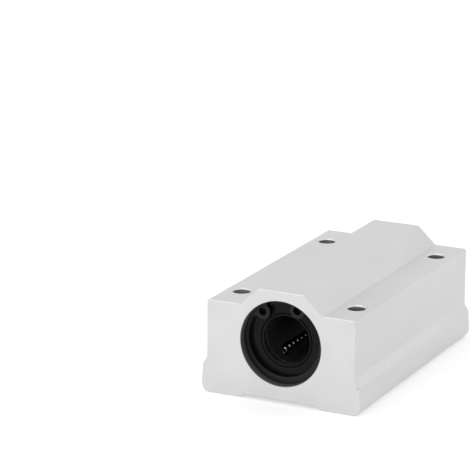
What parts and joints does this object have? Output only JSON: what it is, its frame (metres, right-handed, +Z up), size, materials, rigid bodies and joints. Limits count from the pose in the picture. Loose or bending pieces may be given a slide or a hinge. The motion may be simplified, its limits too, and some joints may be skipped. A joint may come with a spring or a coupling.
{
  "type": "linear bearing block",
  "caption": "Extruded aluminium block with a ridge on top and feet at the sides, bored for a round shaft that runs on ball bushings, with tapped mounting holes.",
  "frame": {"origin": "on the base plane, under the middle of the block's length and width", "axes": "+X across the block to the side without the grease port, +Y along the shaft from the front end to the rear end, +Z up from the base to the ridge"},
  "size_m": [0.042, 0.07, 0.028],
  "materials": {
    "housing_aluminium": "satin, clear anodised",
    "spring_steel": "phosphated and oiled, dark",
    "spacer_steel": "turned",
    "sleeve_steel": "hardened and ground",
    "side_ring_steel": "pressed",
    "cage_resin": "moulded, fine matt",
    "seal_rubber": "moulded, slightly oily",
    "ball_steel": "polished"
  },
  "bodies": {
    "root": {"housing": "housing_aluminium", "front_retaining_ring": "spring_steel", "rear_retaining_ring": "spring_steel", "spacer_ring": "spacer_steel", "front_sleeve": "sleeve_steel", "front_cage": "cage_resin", "front_seal_outer": "seal_rubber", "front_seal_inner": "seal_rubber", "front_side_ring_outer": "side_ring_steel", "front_side_ring_inner": "side_ring_steel", "front_ball_circuit_1": "ball_steel", "front_ball_circuit_2": "ball_steel", "front_ball_circuit_3": "ball_steel", "front_ball_circuit_4": "ball_steel", "rear_sleeve": "sleeve_steel", "rear_cage": "cage_resin", "rear_seal_outer": "seal_rubber", "rear_seal_inner": "seal_rubber", "rear_side_ring_outer": "side_ring_steel", "rear_side_ring_inner": "side_ring_steel", "rear_ball_circuit_1": "ball_steel", "rear_ball_circuit_2": "ball_steel", "rear_ball_circuit_3": "ball_steel", "rear_ball_circuit_4": "ball_steel"}
  },
  "joints": []
}
